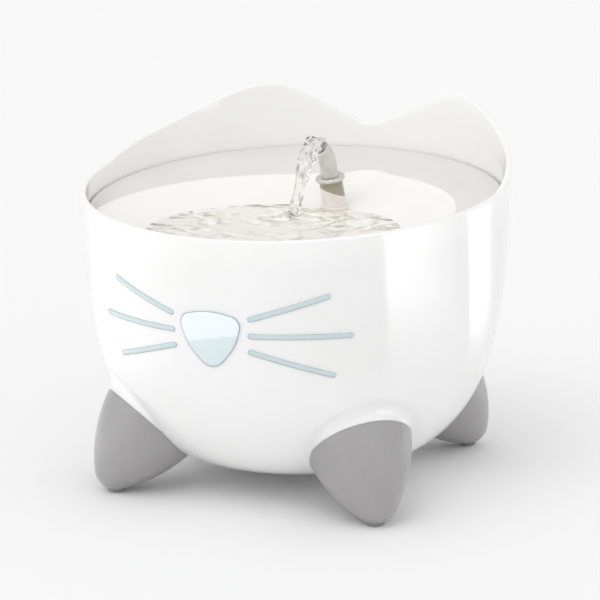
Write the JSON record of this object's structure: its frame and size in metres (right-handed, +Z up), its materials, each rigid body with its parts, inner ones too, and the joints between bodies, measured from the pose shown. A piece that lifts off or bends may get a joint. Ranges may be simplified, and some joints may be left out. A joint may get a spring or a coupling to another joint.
{
  "type": "pet water fountain",
  "caption": "Round pet water fountain with a cat-eared bowl, whisker windows and nose, cone feet, a tilted drinking dish, a swivel spout, a filter tray and a submersible pump.",
  "frame": {"origin": "on the floor under the middle of the bowl, level with the undersides of the rubber pads", "axes": "+Z up, the face with nose and whiskers towards -Y, +X to the right as seen from the front"},
  "size_m": [0.241, 0.2408, 0.2062],
  "materials": {
    "white_abs": "satin",
    "dish_abs": "satin",
    "frosted_clear": "frosted",
    "grey_abs": "fine matte",
    "screw_steel": "satin",
    "pad_rubber": "matte",
    "seal_rubber": "matte",
    "ivory_abs": "gloss",
    "plated_trim": "polished",
    "tray_plastic": "satin",
    "white_foam": "open-cell foam",
    "carbon_felt": "felt",
    "clear_tube": "gloss",
    "pump_plastic": "satin",
    "core_steel": "rolled",
    "coil_copper": "enamelled wire",
    "impeller_plastic": "satin",
    "magnet_ferrite": "sintered",
    "shaft_steel": "ground",
    "led_board_mask": "solder mask",
    "led_clear": "clear resin"
  },
  "bodies": {
    "bowl": {"bowl_shell": "white_abs", "support_ring": "white_abs", "pump_plinth": "white_abs", "riser_seal": "seal_rubber", "whisker_window_left": "frosted_clear", "whisker_window_right": "frosted_clear", "nose_lens": "frosted_clear", "foot_front_left": "grey_abs", "foot_front_right": "grey_abs", "foot_rear_left": "grey_abs", "foot_rear_right": "grey_abs", "foot_screws": "screw_steel", "foot_pads": "pad_rubber", "cable_grommet": "seal_rubber", "riser_tube": "clear_tube", "pump_housing": "pump_plastic", "pump_back_plate": "pump_plastic", "outlet_elbow": "pump_plastic", "suction_cups": "seal_rubber", "stator_core": "core_steel", "motor_coil": "coil_copper", "impeller_shaft": "shaft_steel", "rear_bush": "seal_rubber", "led_board": "led_board_mask", "led_lens": "led_clear", "cable_gland": "seal_rubber"},
    "dish": {"drinking_dish": "dish_abs"},
    "spout": {"spout_neck": "ivory_abs", "spout_collar": "plated_trim", "spout_tube": "ivory_abs", "spout_o_ring": "seal_rubber", "spout_clip": "dish_abs"},
    "filter": {"filter_tray": "tray_plastic", "filter_foam": "white_foam", "carbon_cartridge": "carbon_felt"},
    "pump_front": {"pump_cover": "pump_plastic", "inlet_foam": "white_foam", "front_bush": "seal_rubber"},
    "dial": {"flow_dial": "impeller_plastic"},
    "rotor": {"impeller": "impeller_plastic", "rotor_magnet": "magnet_ferrite"}
  },
  "joints": [
    {"name": "dish_lift", "type": "slide", "parent": "bowl", "child": "dish", "axis": [0, 0, 1], "range_m": [0, 0.12]},
    {"name": "spout_swivel", "type": "hinge", "parent": "dish", "child": "spout", "pos_m": [0.00575, 0.04685, 0.14], "axis": [0, 0, 1], "range_deg": [-43, 77]},
    {"name": "filter_tray_drop", "type": "slide", "parent": "dish", "child": "filter", "axis": [0, 0, -1], "range_m": [0, 0.012]},
    {"name": "pump_cover_slide", "type": "slide", "parent": "bowl", "child": "pump_front", "axis": [0, -1, 0], "range_m": [0, 0.015]},
    {"name": "flow_dial_turn", "type": "hinge", "parent": "pump_front", "child": "dial", "pos_m": [0.01575, 0.0047, 0.03], "axis": [0, 1, 0], "range_deg": [0, 90]},
    {"name": "impeller_spin", "type": "hinge", "parent": "bowl", "child": "rotor", "pos_m": [0.00575, 0.02, 0.04], "axis": [0, 1, 0], "continuous": true}
  ]
}
